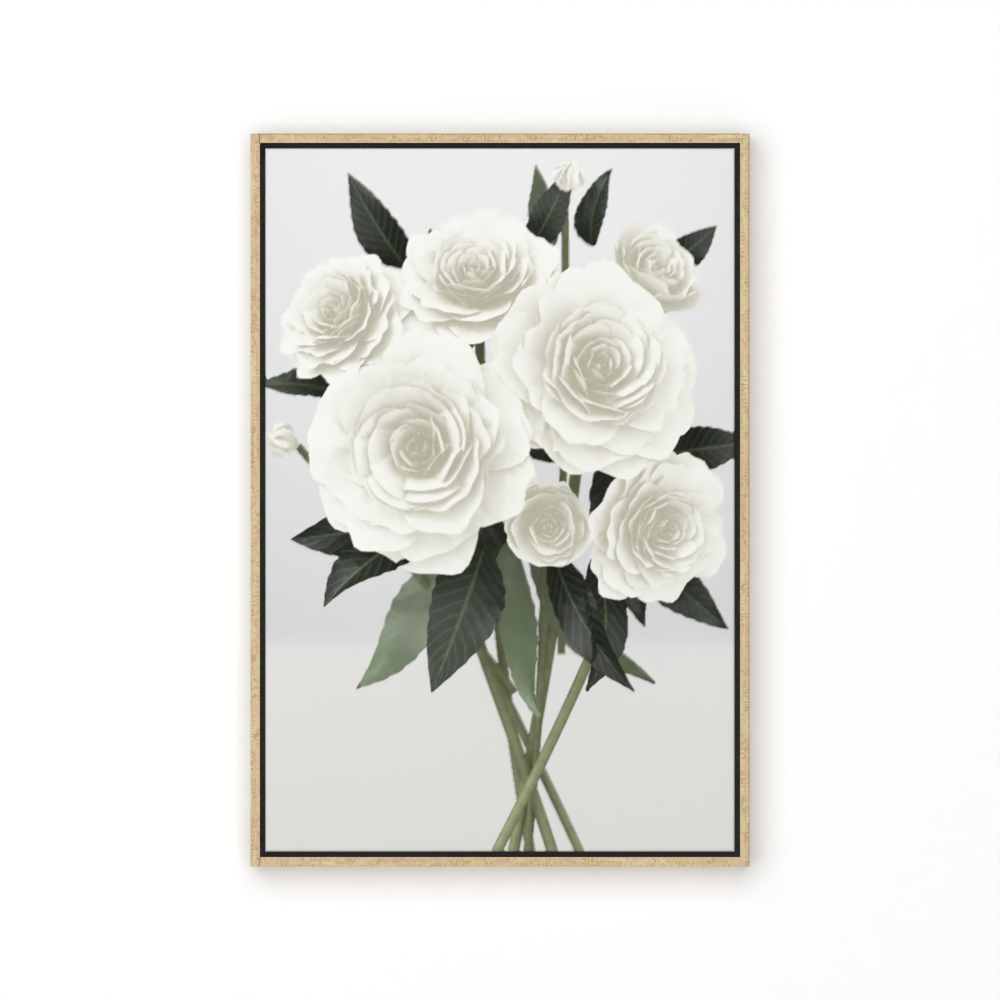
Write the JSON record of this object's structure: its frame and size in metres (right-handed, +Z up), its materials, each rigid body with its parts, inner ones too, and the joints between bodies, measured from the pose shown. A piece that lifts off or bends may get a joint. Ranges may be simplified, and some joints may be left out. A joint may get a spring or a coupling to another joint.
{
  "type": "framed canvas print in a floater frame",
  "caption": "Tall canvas print stretched over pine bars, standing free inside a slim light oak floater frame, with a sawtooth hanger on its back.",
  "frame": {"origin": "root of the sawtooth hanger's middle notch, where the wall nail carries the picture", "axes": "+X to the right as seen from the front, +Y back into the wall, +Z up; the print faces -Y"},
  "size_m": [0.648, 0.0471, 0.952],
  "materials": {
    "oak": "clear matt lacquer, black satin inside",
    "canvas": "matt printed cotton weave",
    "pine": "planed, unfinished",
    "beech": "sawn, unfinished",
    "zinc_plated_steel": "bright zinc plating",
    "rubber": "matt"
  },
  "bodies": {
    "root": {"frame_stile_left": "oak", "frame_stile_right": "oak", "frame_rail_bottom": "oak", "frame_rail_top": "oak", "canvas": "canvas", "stretcher_bar_left": "pine", "stretcher_bar_right": "pine", "stretcher_bar_bottom": "pine", "stretcher_bar_top": "pine", "stretcher_brace": "pine", "corner_key_left_1": "beech", "corner_key_left_2": "beech", "corner_key_right_1": "beech", "corner_key_right_2": "beech", "corner_key_bottom_1": "beech", "corner_key_bottom_2": "beech", "corner_key_top_1": "beech", "corner_key_top_2": "beech", "dowel_bottom_left_1": "beech", "dowel_bottom_left_2": "beech", "dowel_bottom_right_1": "beech", "dowel_bottom_right_2": "beech", "dowel_top_left_1": "beech", "dowel_top_left_2": "beech", "dowel_top_right_1": "beech", "dowel_top_right_2": "beech", "canvas_screw_left_1": "zinc_plated_steel", "canvas_screw_left_2": "zinc_plated_steel", "canvas_screw_left_3": "zinc_plated_steel", "canvas_screw_right_1": "zinc_plated_steel", "canvas_screw_right_2": "zinc_plated_steel", "canvas_screw_right_3": "zinc_plated_steel", "canvas_screw_bottom_1": "zinc_plated_steel", "canvas_screw_bottom_2": "zinc_plated_steel", "canvas_screw_top_1": "zinc_plated_steel", "canvas_screw_top_2": "zinc_plated_steel", "sawtooth_hanger": "zinc_plated_steel", "hanger_nail_left": "zinc_plated_steel", "hanger_nail_right": "zinc_plated_steel", "wall_bumper_left": "rubber", "wall_bumper_right": "rubber"}
  },
  "joints": []
}
